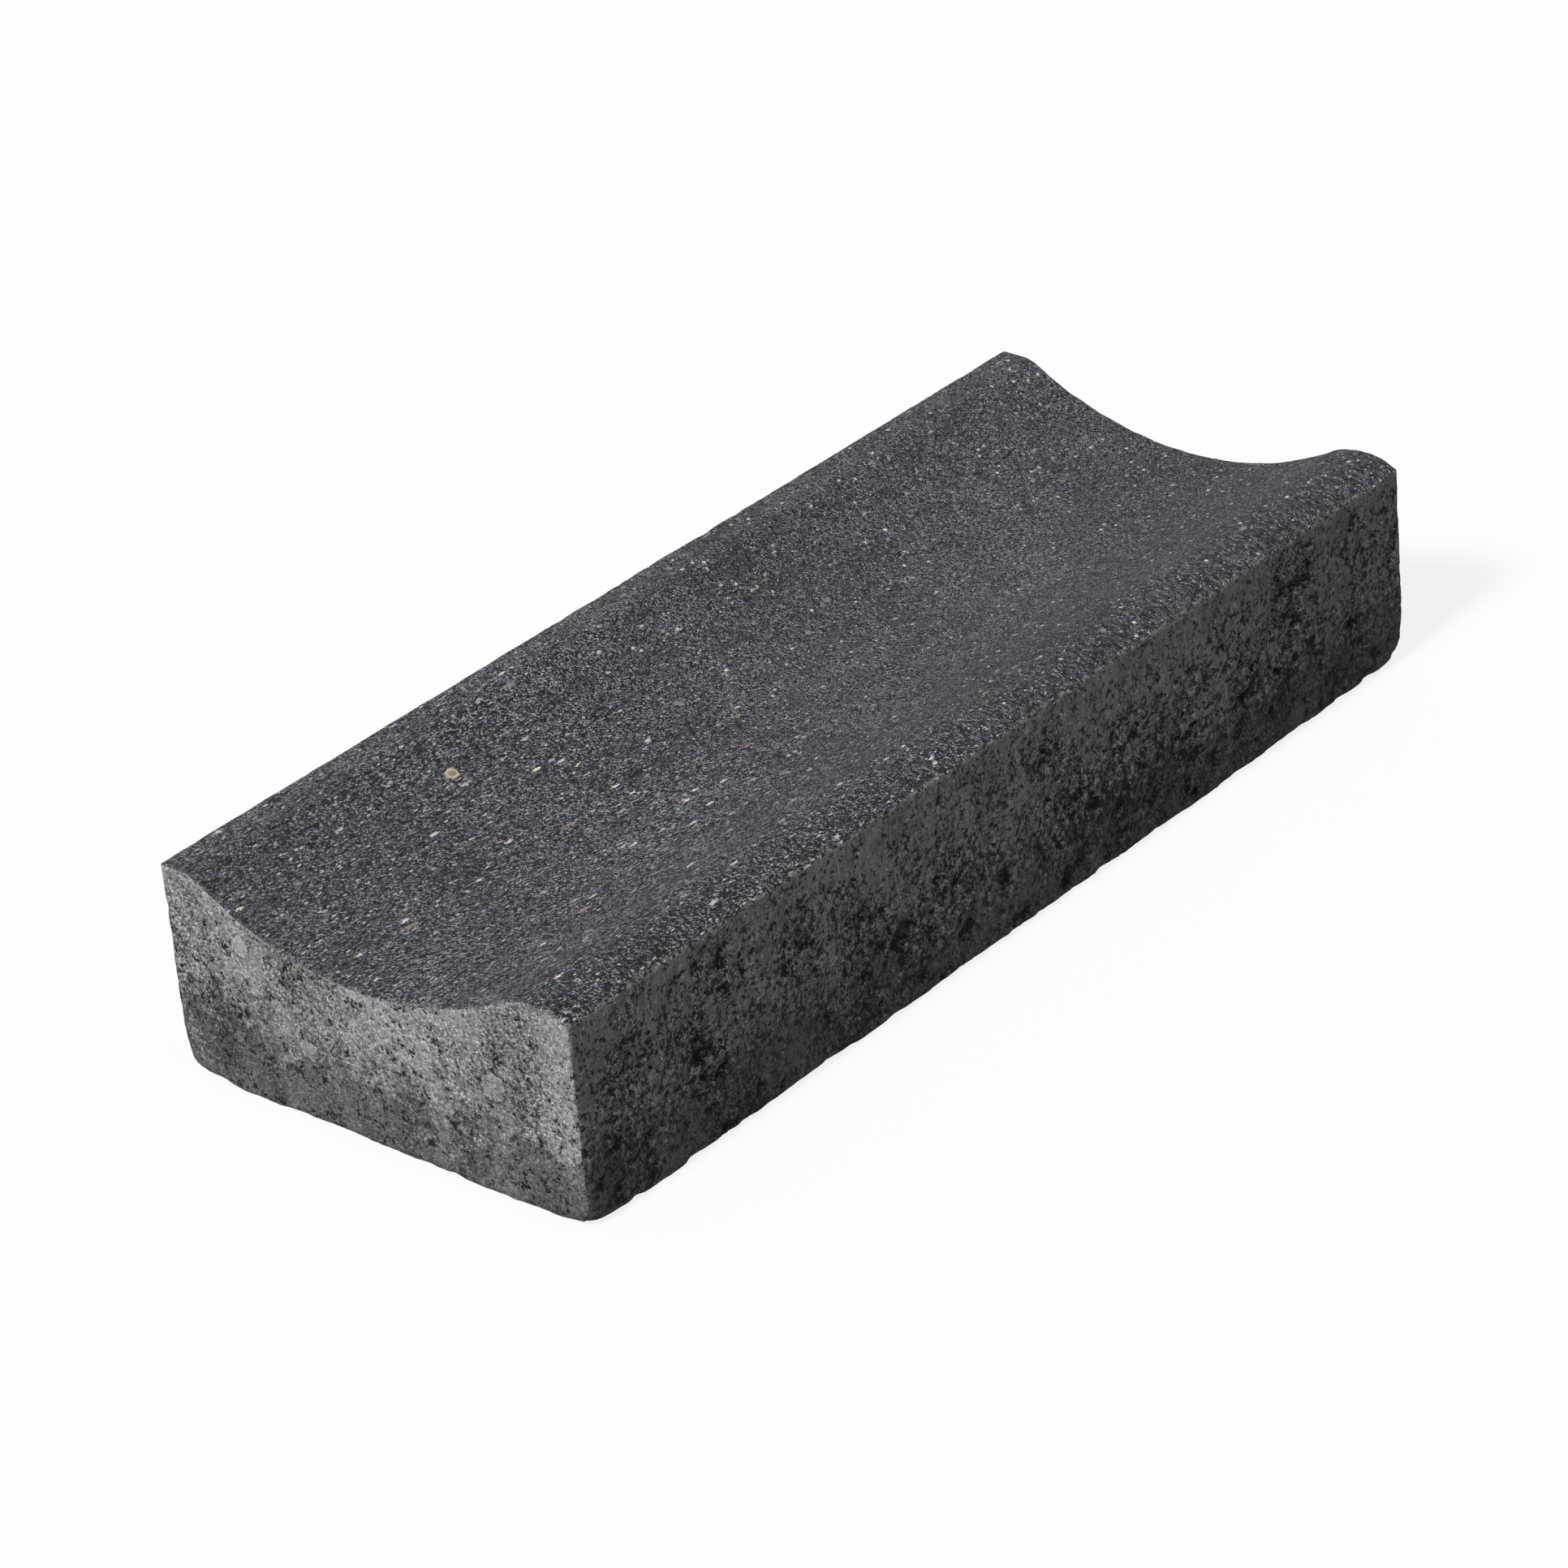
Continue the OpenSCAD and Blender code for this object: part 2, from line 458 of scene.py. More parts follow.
def make_block():
    """The dished and worn box, moved along its normals by the relief of the mix that shows
    there. The base stays flat. What each surface is goes into the mesh as attributes."""
    box, quads, fans = box_of_points()
    points = dished(worn_box(box))
    normals = point_normals(points, quads, fans)
    is_top = rise(normals[:, 2], 0.15, 0.50)
    is_base = rise(-normals[:, 2], 0.5, 0.95)
    is_end = rise(np.abs(normals[:, 1]), 0.5, 0.8)
    is_open = open_patches(points) * (1 - is_top)
    arris = nearness_to_arris(box, 0.9 * MM)
    calm = 1 - 0.7 * nearness_to_arris(box, 4 * MM)
    depth = body_relief(points, is_open, is_end) * (1 - is_top) * calm
    height = top_relief(points) * is_top * calm - depth
    points = points + normals * (height * (1 - is_base))[:, None]
    points[:, 2] = np.maximum(points[:, 2], 0)
    marks = {
        "top_face": is_top,
        "end_face": is_end,
        "open_mix": is_open,
        "arris": arris,
        "depth": np.clip(depth / (2 * MM), 0, 1),
    }
    return new_skin(points, quads.tolist() + fans.tolist(), marks)


# ---- Materials ----


def new_material(name):
    """An empty material and its node tree."""
    material = bpy.data.materials.new(name)
    material.use_nodes = True
    material.node_tree.nodes.clear()
    return material, material.node_tree


def put(tree, kind, settings=None, **sockets):
    """Adds a node, sets its settings, and fills its input sockets with numbers or links. A socket
    goes by its name with underscores for spaces, or by its number after an underscore."""
    node = tree.nodes.new(kind)
    for name, value in (settings or {}).items():
        setattr(node, name, value)
    for name, value in sockets.items():
        socket = node.inputs[int(name[1:])] if name[0] == "_" else node.inputs[name.replace("_", " ")]
        if isinstance(value, bpy.types.NodeSocket):
            tree.links.new(value, socket)
        else:
            socket.default_value = value
    return node


def reckon(tree, operation, first, second=0.0, clamp=False):
    """One sum on numbers."""
    settings = {"operation": operation, "use_clamp": clamp}
    return put(tree, "ShaderNodeMath", settings, _0=first, _1=second).outputs[0]


def times(tree, first, second):
    """Two numbers multiplied."""
    return reckon(tree, "MULTIPLY", first, second)


def add_part(tree, total, value, weight):
    """A total plus a value times its weight."""
    sockets = {"_0": value, "_1": weight, "_2": total}
    return put(tree, "ShaderNodeMath", {"operation": "MULTIPLY_ADD"}, **sockets).outputs[0]


def weigh(tree, *parts, start=0.0):
    """The start plus the sum of values, each times its own weight."""
    total = start
    for value, weight in parts:
        total = add_part(tree, total, value, weight)
    return total


def sway(tree, middle, *parts):
    """A middle number, moved by each value's difference from a half times its weight."""
    total = middle - sum(weight for _, weight in parts) / 2
    return weigh(tree, *parts, start=total)


def swayed(tree, value, *parts):
    """The same, where the middle is itself a value of the tree."""
    return reckon(tree, "ADD", value, sway(tree, 0.0, *parts))


def ease(tree, value, low, high, to_low=0.0, to_high=1.0):
    """Maps a value between low and high to the two given results, with an eased slope."""
    settings = {"interpolation_type": "SMOOTHSTEP"}
    sockets = {"Value": value, "From_Min": low, "From_Max": high, "To_Min": to_low, "To_Max": to_high}
    return put(tree, "ShaderNodeMapRange", settings, **sockets).outputs[0]


def fade(tree, share, start, end):
    """The start where the share is 0 and the end where it is 1, with an eased slope."""
    return ease(tree, share, 0.0, 1.0, start, end)


def between(tree, share, first, second):
    """A number part of the way from the first to the second."""
    return put(tree, "ShaderNodeMix", {"data_type": "FLOAT"}, _0=share, _2=first, _3=second).outputs[0]


def reckon_vector(tree, operation, *values):
    """One sum on vectors."""
    sockets = {f"_{place}": value for place, value in enumerate(values)}
    return put(tree, "ShaderNodeVectorMath", {"operation": operation}, **sockets).outputs[0]


def grey(level, blue=0.0):
    """A grey with a little blue in it."""
    return (level * (1 - 0.3 * blue), level * (1 - 0.35 * blue), level * (1 + 0.6 * blue), 1.0)


def scale_of_greys(tree, value, stops, blue=0.0):
    """Greys read off a scale, at the places given."""
    node = put(tree, "ShaderNodeValToRGB", None, Fac=value)
    marks = node.color_ramp.elements
    for _ in stops[2:]:
        marks.new(0.5)
    for place, (position, level) in enumerate(stops):
        marks[place].position = position
        marks[place].color = grey(level, blue)
    return node.outputs[0]


def blend(tree, share, first, second):
    """Mixes two colours by a share."""
    return put(tree, "ShaderNodeMix", {"data_type": "RGBA"}, _0=share, _6=first, _7=second).outputs[2]


def dim(tree, colour, share):
    """A colour times a number."""
    return put(tree, "ShaderNodeVectorMath", {"operation": "SCALE"}, _0=colour, Scale=share).outputs[0]


def mark(tree, name):
    """One of the attributes that the mesh carries."""
    return put(tree, "ShaderNodeAttribute", {"attribute_name": name}).outputs["Fac"]


def parted(tree, coordinates):
    """The coordinates' x, y and z."""
    return put(tree, "ShaderNodeSeparateXYZ", None, Vector=coordinates).outputs


def stretched(tree, coordinates, scale):
    """The coordinates, scaled along the three axes."""
    return put(tree, "ShaderNodeMapping", None, Vector=coordinates, Scale=scale).outputs[0]


def drawn_out(tree, coordinates):
    """The coordinates with the length along the gutter squeezed by one share at the far end and
    by another at the near end, so that a pattern on them is drawn out along the gutter. Between
    the two the share changes smoothly."""
    x, y, z = parted(tree, coordinates)
    sockets = {"_0": reckon(tree, "SUBTRACT", y, SQUEEZE_BEND), "_1": 0.0, "_2": SQUEEZE_REACH}
    near_part = put(tree, "ShaderNodeMath", {"operation": "SMOOTH_MIN"}, **sockets).outputs[0]
    length = weigh(tree, (y, FAR_SQUEEZE), (near_part, NEAR_SQUEEZE - FAR_SQUEEZE))
    return put(tree, "ShaderNodeCombineXYZ", None, X=x, Y=length, Z=z).outputs[0]


def speckle(tree, coordinates, scale, detail=2.0, roughness=0.6):
    """Noise from 0 to 1."""
    sockets = {"Vector": coordinates, "Scale": scale, "Detail": detail, "Roughness": roughness}
    return put(tree, "ShaderNodeTexNoise", None, **sockets).outputs[0]


def three_noises(tree, coordinates, scale, detail):
    """Three noises from 0 to 1 at once, as a vector or a colour."""
    sockets = {"Vector": coordinates, "Scale": scale, "Detail": detail}
    return put(tree, "ShaderNodeTexNoise", None, **sockets).outputs["Color"]


def pushed(tree, coordinates, scale, reach):
    """The coordinates, pushed about by smooth noise, so that a pattern on them is ragged."""
    centred = reckon_vector(tree, "SUBTRACT", three_noises(tree, coordinates, scale, 2.0), (0.5, 0.5, 0.5))
    return reckon_vector(tree, "MULTIPLY_ADD", centred, (reach, reach, reach), coordinates)


def grains(tree, coordinates, scale):
    """Cells of random size: the distance to the nearest cell's middle, and two random numbers
    that belong to it."""
    node = put(tree, "ShaderNodeTexVoronoi", None, Vector=coordinates, Scale=scale)
    kinds = put(tree, "ShaderNodeSeparateColor", None, Color=node.outputs["Color"]).outputs
    return node.outputs["Distance"], (kinds[0], kinds[1])


def inside_ball(tree, coordinates, middle, radius):
    """How far inside a ball: 1 at its middle, 0 at its surface, and less than 0 outside."""
    settings = {"operation": "DISTANCE"}
    away = put(tree, "ShaderNodeVectorMath", settings, _0=coordinates, _1=middle).outputs["Value"]
    return weigh(tree, (away, -1 / radius), start=1.0)


# ---- The facing mix ----


def facing_patterns(tree, coordinates, pulled):
    """The patterns that several parts of the facing mix share, by name. The scales of the crowned
    rim are drawn out down over it, and the finer patterns along the gutter."""
    sand = speckle(tree, pulled, TOP_SAND, 1.0)
    beside = reckon_vector(tree, "ADD", pulled, LIT_EDGE_STEP)
    gap, kind = grains(tree, pulled, TOP_CRYSTALS)
    return {
        "sand": sand,
        "lit_edge": reckon(tree, "SUBTRACT", speckle(tree, beside, TOP_SAND, 1.0), sand),
        "lumps": speckle(tree, pulled, TOP_LUMPS, 3.0, 0.75),
        "scales": speckle(tree, stretched(tree, coordinates, (0.60, 1.0, 0.60)), TOP_SCALES, 3.0, 0.75),
        "cloudy": speckle(tree, coordinates, TOP_CLOUDS, 3.0),
        "gap": gap,
        "kind": kind,
    }


def facing_shade(tree, pattern, pulled, across, on_crown):
    """The place of the facing mix on its scale of shades: sand and lumps in the dish, evened out in
    patches, and sand and scales on the crowned rim. All have painted lit edges, and the dish falls lower
    on the scale towards the crowned rim, and the rim lower still, as painted shade."""
    sand, cloudy, kind = pattern["sand"], pattern["cloudy"], pattern["kind"]
    fine = sway(tree, 0.456, (sand, 1.3), (pattern["lumps"], 1.0), (kind[0], 0.10), (cloudy, 0.22))
    # Painted shade: the dish is made darker across towards the crowned rim.
    fine = weigh(tree, (fine, 1.0), (pattern["lit_edge"], 2.3), (across, -0.22))
    patch = ease(tree, speckle(tree, pulled, TOP_PATCHES, 3.0, 0.6), 0.50, 0.58)
    fine = between(tree, times(tree, patch, 0.34), fine, 0.462)
    # Partly painted shade: the crowned rim's scale starts lower, so it looks darker.
    coarse = sway(tree, 0.436, (sand, 1.0), (pattern["scales"], 1.5), (kind[0], 0.10), (cloudy, 0.14))
    coarse = weigh(tree, (coarse, 1.0), (pattern["lit_edge"], 2.0))
    return between(tree, on_crown, fine, coarse)


def facing_ground(tree, pattern, pulled, shade, across, along):
    """The colour of the facing mix without its stones. It is evened out towards the near end of the flat
    rim, darker at the far end, painted darker as shade on the crowned rim and in holes, and tinted all
    over."""
    colour = scale_of_greys(tree, shade, TOP_SHADES, TOP_BLUENESS)
    by_length = ease(tree, along, -0.25, 0.0, 0.38, 0.05)
    by_width = ease(tree, across, -0.06, 0.04, 1.0, 0.0)
    colour = blend(tree, times(tree, by_length, by_width), colour, grey(0.092, TOP_BLUENESS))
    # Painted shade: the crowned rim is made darker.
    colour = dim(tree, colour, ease(tree, across, 0.01, 0.08, 0.97, 0.77))
    colour = dim(tree, colour, ease(tree, along, -0.12, 0.20, 1.0, 0.84))
    # Painted shade: the hollows between the lumps are painted nearly black.
    deep = sway(tree, 0.5, (pattern["lumps"], 1.0), (pattern["sand"], 0.25))
    colour = dim(tree, colour, fade(tree, ease(tree, deep, 0.445, 0.405), 1.0, 0.22))
    tint = three_noises(tree, pulled, TOP_TINTS, 1.0)
    tint = reckon_vector(tree, "MULTIPLY_ADD", tint, (0.60, 0.35, 0.60), (0.70, 0.825, 0.70))
    return reckon_vector(tree, "MULTIPLY", colour, tint)


def with_crystal_glints(tree, colour, pattern):
    """Adds small crystals to a colour, painted bright as their glints."""
    near_middle = ease(tree, pattern["gap"], 0.55, 0.42)
    crystal = times(tree, ease(tree, pattern["kind"][1], 0.955, 0.970), near_middle)
    return blend(tree, times(tree, crystal, 0.9), colour, grey(0.62, 0.12))


def with_flakes(tree, colour, pattern, pulled):
    """Adds pale flakes to a colour, from bluish grey to nearly white."""
    gap, kind = grains(tree, pulled, TOP_FLAKES)
    near_middle = ease(tree, swayed(tree, gap, (pattern["sand"], 0.6)), 0.30, 0.24)
    flake = times(tree, ease(tree, kind[0], 0.925, 0.933), near_middle)
    flake_colour = blend(tree, kind[1], grey(0.46, 0.28), WARM_FLAKE)
    return blend(tree, times(tree, flake, 0.9), colour, flake_colour)


def with_chips(tree, colour, pattern, pulled):
    """Adds ragged chips of stone to a colour, most of them grey and some brown. Gives the colour,
    and where the chips are."""
    gap, kind = grains(tree, pulled, TOP_CHIPS)
    size = ease(tree, kind[0], 0.87, 1.0, 0.05, 0.32)
    reach = reckon(tree, "SUBTRACT", size, gap)
    reach = swayed(tree, reach, (pattern["sand"], 0.7), (pattern["lumps"], 0.8))
    chip = ease(tree, reach, 0.02, 0.07)
    chip_colour = blend(tree, ease(tree, kind[1], 0.80, 0.84), grey(0.36, 0.15), BROWN_CHIP)
    return blend(tree, times(tree, chip, 0.75), colour, chip_colour), chip


def with_cream_stone(tree, colour, pattern, coordinates):
    """Adds the one big cream stone to a colour. It has a darker core."""
    inside = inside_ball(tree, coordinates, CREAM_STONE_MIDDLE, CREAM_STONE_RADIUS)
    inside = swayed(tree, inside, (pattern["lumps"], 0.9))
    stone_colour = blend(tree, ease(tree, inside, 0.36, 0.56), CREAM_STONE_RIM, CREAM_STONE_CORE)
    return blend(tree, ease(tree, inside, 0.02, 0.12), colour, stone_colour)


def facing_mix(tree, coordinates):
    """The dark blue-grey facing mix: sand grains of many shades with gaps and hollows painted dark as
    shade, crystals painted bright as glints, pale flakes, chips and one big stone. Gives its colour and
    its height in millimetres."""
    across, along, _ = parted(tree, coordinates)
    pulled = drawn_out(tree, coordinates)
    pattern = facing_patterns(tree, coordinates, pulled)
    on_crown = ease(tree, swayed(tree, across, (pattern["cloudy"], 0.02)), 0.075, 0.085)
    shade = facing_shade(tree, pattern, pulled, across, on_crown)
    colour = facing_ground(tree, pattern, pulled, shade, across, along)
    colour = with_crystal_glints(tree, colour, pattern)
    colour = with_flakes(tree, colour, pattern, pulled)
    colour, chip = with_chips(tree, colour, pattern, pulled)
    colour = with_cream_stone(tree, colour, pattern, coordinates)
    lumpy = sway(tree, 0.0, (pattern["sand"], 0.45), (pattern["lumps"], 1.5), (pattern["gap"], -0.05))
    scaly = sway(tree, 0.0, (pattern["sand"], 0.35), (pattern["scales"], 1.4))
    height = weigh(tree, (between(tree, on_crown, lumpy, scaly), 1.0), (chip, 0.08))
    return colour, height


# ---- The body mix ----


def body_patterns(tree, coordinates):
    """The patterns that several parts of the body mix share, by name."""
    smear_coordinates = stretched(tree, coordinates, (1.0, 1.0, 0.30))
    combed_coordinates = stretched(tree, coordinates, (1.0, 1.0, 0.14))
    knob, _ = grains(tree, pushed(tree, coordinates, KNOB_PUSHES, KNOB_PUSH_REACH), BODY_KNOBS)
    billow = sway(tree, 0.0, (speckle(tree, coordinates, BODY_BILLOWS, 3.0, 0.65), 1.0))
    return {
        "sand": speckle(tree, coordinates, BODY_SAND, 2.0, 0.75),
        "broken": speckle(tree, coordinates, BODY_BREAKS, 4.0, 0.74),
        "cracks": speckle(tree, coordinates, BODY_CRACKS, 3.0, 0.75),
        "cloudy": speckle(tree, coordinates, BODY_CLOUDS, 3.0),
        "smear": speckle(tree, smear_coordinates, BODY_SMEARS, 4.0, 0.6),
        "combed": speckle(tree, combed_coordinates, BODY_COMBING, 2.0),
        "knob": knob,
        "billow": reckon(tree, "ABSOLUTE", billow),
    }


def crevices(tree, pattern, open_share, end_face, depth, height_up):
    """Where gaps between crumbs and seams between billows show, from 0 to 1; the colour paints them black
    as shade. They are wider in hollows and in the open mix, and narrower on the ends and near the top."""
    broken, cracks, cloudy = pattern["broken"], pattern["cracks"], pattern["cloudy"]
    sunk = ease(tree, depth, 0.20, 0.90)
    top_band = ease(tree, swayed(tree, height_up, (cloudy, 0.06)), 0.066, 0.082)
    parts = ((sunk, -0.025), (open_share, -0.012), (end_face, 0.045), (top_band, 0.026))
    closed = weigh(tree, *parts, start=-0.004)
    gap_size = sway(tree, 0.522, (cracks, 0.60), (broken, 0.58), (pattern["knob"], -0.25), (cloudy, 0.08))
    gap = ease(tree, reckon(tree, "ADD", gap_size, closed), 0.470, 0.440)
    seam_size = sway(tree, 0.0, (broken, 0.14), (cracks, 0.08), (open_share, -0.002))
    seam_size = weigh(tree, (pattern["billow"], 1.0), (closed, 0.25), start=seam_size)
    return reckon(tree, "MAXIMUM", gap, ease(tree, seam_size, 0.011, 0.004))


def body_ground(tree, pattern, is_smooth, end_face):
    """The colour of the body mix without its stones and gaps: sandy, or smooth and combed."""
    sand, smear = pattern["sand"], pattern["smear"]
    rough_parts = ((sand, 1.05), (pattern["broken"], 0.42), (pattern["cloudy"], 0.22), (smear, 0.25))
    rough = scale_of_greys(tree, sway(tree, 0.5, *rough_parts), ROUGH_SHADES)
    smooth_parts = ((smear, 0.6), (pattern["combed"], 0.6), (sand, 0.25))
    smooth = scale_of_greys(tree, sway(tree, 0.5, *smooth_parts), SMOOTH_SHADES)
    return blend(tree, times(tree, is_smooth, fade(tree, end_face, 0.85, 0.45)), rough, smooth)


def big_stones(tree, coordinates):
    """How far inside a big stone of the near end: 1 at its middle, 0 at its rim, and less than 0
    outside."""
    inside = -1.0
    for x, z, radius in END_STONES:
        stone = inside_ball(tree, coordinates, (x, -HALF_LENGTH, z), radius)
        inside = reckon(tree, "MAXIMUM", stone, inside)
    return inside


def stones_and_rings(tree, pattern, coordinates):
    """Where the body mix has stones and the dark rings round them, from 0 to 1: small ones
    scattered, and the big ones of the near end."""
    sand, broken = pattern["sand"], pattern["broken"]
    gap, kind = grains(tree, coordinates, BODY_STONES)
    size = ease(tree, kind[0], 0.90, 1.0, 0.05, 0.36)
    reach = swayed(tree, reckon(tree, "SUBTRACT", size, gap), (sand, 0.5))
    big_reach = times(tree, big_stones(tree, coordinates), 0.5)
    big_reach = swayed(tree, big_reach, (broken, 0.45), (sand, 0.25))
    reach = reckon(tree, "MAXIMUM", reach, big_reach)
    stone = ease(tree, reach, -0.01, 0.03)
    ring = reckon(tree, "SUBTRACT", ease(tree, reach, -0.10, -0.04), stone)
    return stone, ring


def with_specks(tree, colour, coordinates):
    """Adds small pale specks to a colour."""
    gap, kind = grains(tree, coordinates, BODY_SPECKS)
    speck = times(tree, ease(tree, kind[0], 0.950, 0.960), ease(tree, gap, 0.42, 0.30))
    return blend(tree, times(tree, speck, 0.85), colour, grey(0.50))


def body_bumps(tree, pattern, crevice, stone, is_smooth, end_face):
    """The height of the body mix in millimetres: knobs, billows and crumbs, rubbed down where it
    is smooth, with sunk gaps and proud stones."""
    lumpy = weigh(tree, (pattern["knob"], -1.4), (pattern["billow"], 12.0))
    crumbs = sway(tree, 0.0, (pattern["sand"], 0.9), (pattern["broken"], 3.2))
    bare = reckon(tree, "ADD", times(tree, lumpy, fade(tree, end_face, 1.0, 0.3)), crumbs)
    rubbed = times(tree, bare, fade(tree, is_smooth, 1.0, 0.45))
    height = weigh(tree, (rubbed, 1.0), (crevice, -0.5), (stone, 0.15))
    return times(tree, height, fade(tree, end_face, 0.30, 1.0))


def body_mix(tree, coordinates, open_mix, end_face, depth):
    """The neutral grey body mix. Its skin is smooth and combed downwards on the sides, sandy on the ends,
    and broken by ragged gaps painted black as shade, most where it is open. A few pale stones with dark
    rings show. The ends are painted lighter than the sides, and the far end darker, as light and shade.
    Gives its colour, its height in millimetres and how smooth it is."""
    _, along, height_up = parted(tree, coordinates)
    pattern = body_patterns(tree, coordinates)
    broken, cloudy = pattern["broken"], pattern["cloudy"]
    open_share = times(tree, open_mix, fade(tree, end_face, 1.0, 0.45))
    smooth_parts = ((pattern["smear"], 1.0), (broken, -0.5), (open_share, -0.16), (end_face, -0.10))
    is_smooth = ease(tree, sway(tree, 0.5, *smooth_parts), 0.46, 0.56)
    crevice = crevices(tree, pattern, open_share, end_face, depth, height_up)
    stone, ring = stones_and_rings(tree, pattern, coordinates)
    colour = body_ground(tree, pattern, is_smooth, end_face)
    colour = blend(tree, times(tree, stone, 0.55), colour, grey(0.31))
    colour = with_specks(tree, colour, coordinates)
    dark = reckon(tree, "MAXIMUM", crevice, times(tree, ring, 0.6))
    dark = times(tree, dark, fade(tree, stone, 1.0, 0.15))
    low = ease(tree, swayed(tree, height_up, (cloudy, 0.05), (broken, 0.10)), 0.014, 0.054, 1.0, 0.0)
    # Painted shade: the crevices are painted nearly black, and the rings round stones are darkened with
    # them.
    colour = dim(tree, colour, fade(tree, dark, 1.0, 0.05))
    # Painted light: the ends are painted lighter than the sides, as a lit end and a shaded side of one
    # mix.
    colour = dim(tree, colour, fade(tree, end_face, 0.94, 1.55))
    colour = dim(tree, colour, fade(tree, low, 1.0, 0.42))
    # Painted shade: the body mix is painted darker towards the far end.
    colour = dim(tree, colour, ease(tree, along, 0.03, 0.22, 1.0, 0.80))
    height = body_bumps(tree, pattern, crevice, stone, is_smooth, end_face)
    return colour, height, is_smooth


# ---- The finished materials ----


def concrete():
    """Two mixes in one casting, told apart by the surface's own attributes, with pale arrises that are
    partly wear and partly painted highlight, and deep hollows painted dark as shade. The top and the
    smooth smears are a little less matt."""
    material, tree = new_material("black_cast_concrete")
    coordinates = put(tree, "ShaderNodeTexCoord").outputs["Object"]
    names = ("top_face", "end_face", "open_mix", "arris", "depth")
    top_face, end_face, open_mix, arris, depth = (mark(tree, name) for name in names)
    top_colour, top_height = facing_mix(tree, coordinates)
    body_colour, body_height, is_smooth = body_mix(tree, coordinates, open_mix, end_face, depth)
    # Painted shade: the deepest hollows of the body are painted darker.
    body_colour = dim(tree, body_colour, ease(tree, depth, 0.55, 1.1, 1.0, 0.30))
    is_top = ease(tree, top_face, 0.35, 0.65)
    colour = blend(tree, is_top, body_colour, top_colour)
    spots_of_highlight_and_wear = speckle(tree, coordinates, ARRIS_HIGHLIGHT_AND_WEAR_SPOTS, 4.0, 0.7)
    # The pale line along the arrises is partly wear and partly a painted highlight.
    wear = times(tree, arris, ease(tree, spots_of_highlight_and_wear, 0.49, 0.54))
    colour = blend(tree, times(tree, wear, 0.60), colour, ARRIS_PAINTED_HIGHLIGHT_AND_WEAR)
    height = between(tree, is_top, body_height, top_height)
    bump = put(tree, "ShaderNodeBump", None, Strength=1.0, Distance=MM, Height=height)
    matt = weigh(tree, (is_top, -0.10), (is_smooth, -0.08), (spots_of_highlight_and_wear, 0.20), (depth, 0.08))
    roughness = reckon(tree, "ADD", matt, 0.78, clamp=True)
    sockets = {"Base_Color": colour, "Roughness": roughness, "Specular_IOR_Level": 0.20}
    skin = put(tree, "ShaderNodeBsdfPrincipled", None, Normal=bump.outputs[0], **sockets)
    put(tree, "ShaderNodeOutputMaterial", None, Surface=skin.outputs[0])
    return material


def seen_directly(tree):
    """1 for what the camera sees straight on, in a mirror or through glass, and 0 for light that
    falls on the block."""
    path = put(tree, "ShaderNodeLightPath").outputs
    straight = reckon(tree, "MAXIMUM", path["Is Camera Ray"], path["Is Glossy Ray"])
    return reckon(tree, "MAXIMUM", straight, path["Is Transmission Ray"])


def mix_shaders(tree, share, first, second):
    """Mixes two shaders by a share."""
    return put(tree, "ShaderNodeMixShader", None, _0=share, _1=first, _2=second).outputs[0]


def pale_floor_material():
    """A matt floor that looks nearly white and still holds a soft shadow."""
    material, tree = new_material("pale_floor")
    matt = put(tree, "ShaderNodeBsdfDiffuse", None, Color=grey(FLOOR_SHADE)).outputs[0]
    white = put(tree, "ShaderNodeEmission", None, Color=grey(1.0), Strength=1.0).outputs[0]
    bright = put(tree, "ShaderNodeBsdfDiffuse", None, Color=grey(0.98)).outputs[0]
    look = mix_shaders(tree, FLOOR_WHITENESS, bright, white)
    floor = mix_shaders(tree, seen_directly(tree), matt, look)
    put(tree, "ShaderNodeOutputMaterial", None, Surface=floor)
    return material


# ---- Studio ----


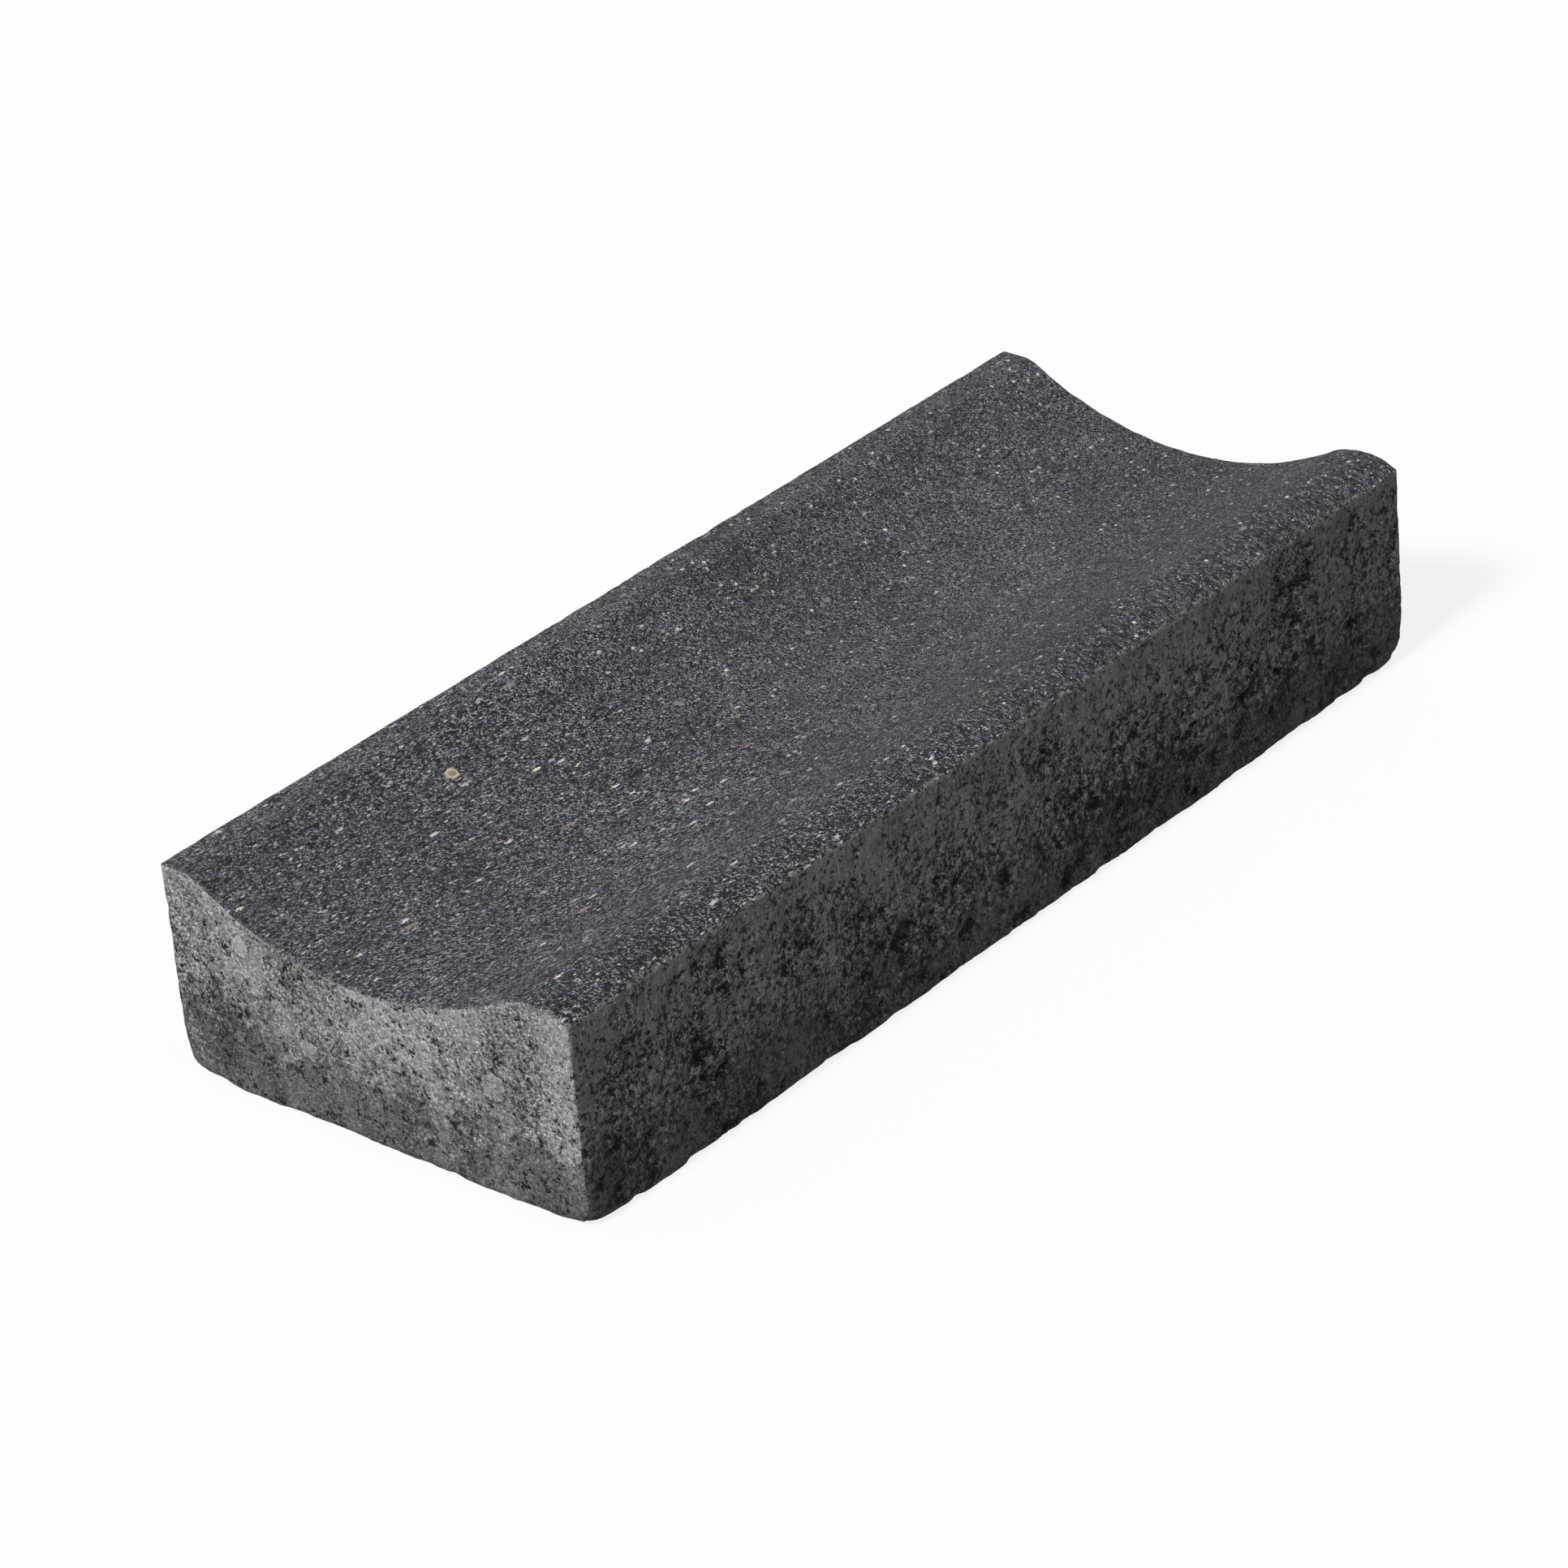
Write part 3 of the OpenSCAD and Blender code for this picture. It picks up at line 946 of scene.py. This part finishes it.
def make_floor():
    """One square, level with the base."""
    corners = np.array([(-1, -1, 0), (1, -1, 0), (1, 1, 0), (-1, 1, 0)]) * FLOOR_REACH
    mesh = bpy.data.meshes.new("floor")
    mesh.from_pydata(corners, [], [(0, 1, 2, 3)])
    floor = bpy.data.objects.new("floor", mesh)
    bpy.context.scene.collection.objects.link(floor)
    floor.data.materials.append(pale_floor_material())
    return floor


def light_studio():
    """A plain sky that looks white, and one broad key light from above the near end."""
    world = bpy.data.worlds.new("studio")
    world.use_nodes = True
    tree = world.node_tree
    tree.nodes.clear()
    strength = fade(tree, seen_directly(tree), SKY_LEVEL, 1.0)
    sky = put(tree, "ShaderNodeBackground", None, Color=grey(1.0), Strength=strength)
    put(tree, "ShaderNodeOutputWorld", None, Surface=sky.outputs[0])
    bpy.context.scene.world = world
    lamp = bpy.data.lights.new("key", "SUN")
    lamp.energy = KEY_STRENGTH
    lamp.angle = np.radians(KEY_SOFTNESS)
    key = bpy.data.objects.new("key", lamp)
    key.rotation_euler = KEY_FROM.to_track_quat("Z", "Y").to_euler()
    bpy.context.scene.collection.objects.link(key)


def place_camera():
    """Stands the camera off the aim, turned round the block and raised by the given angles, and
    leans it about its own line of sight."""
    around, above, roll = np.radians([CAMERA_AROUND, CAMERA_ABOVE, CAMERA_ROLL])
    sight = Vector((-np.sin(around) * np.cos(above), np.cos(around) * np.cos(above), -np.sin(above)))
    level_right = sight.cross(Vector((0, 0, 1))).normalized()
    level_up = level_right.cross(sight)
    right = level_right * np.cos(roll) + level_up * np.sin(roll)
    up = level_up * np.cos(roll) - level_right * np.sin(roll)
    turn = Matrix((right, up, -sight)).transposed().to_4x4()
    lens = bpy.data.cameras.new("camera")
    lens.lens = CAMERA_LENS
    lens.sensor_width = SENSOR_WIDTH
    camera = bpy.data.objects.new("camera", lens)
    camera.matrix_world = Matrix.Translation(CAMERA_AIM - sight * CAMERA_DISTANCE) @ turn
    bpy.context.scene.collection.objects.link(camera)
    bpy.context.scene.camera = camera


block = make_block()
block.data.materials.append(concrete())
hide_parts("gutter_block")
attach(block, "root")
make_floor()
light_studio()
place_camera()
bpy.context.scene.view_settings.view_transform = "Standard"
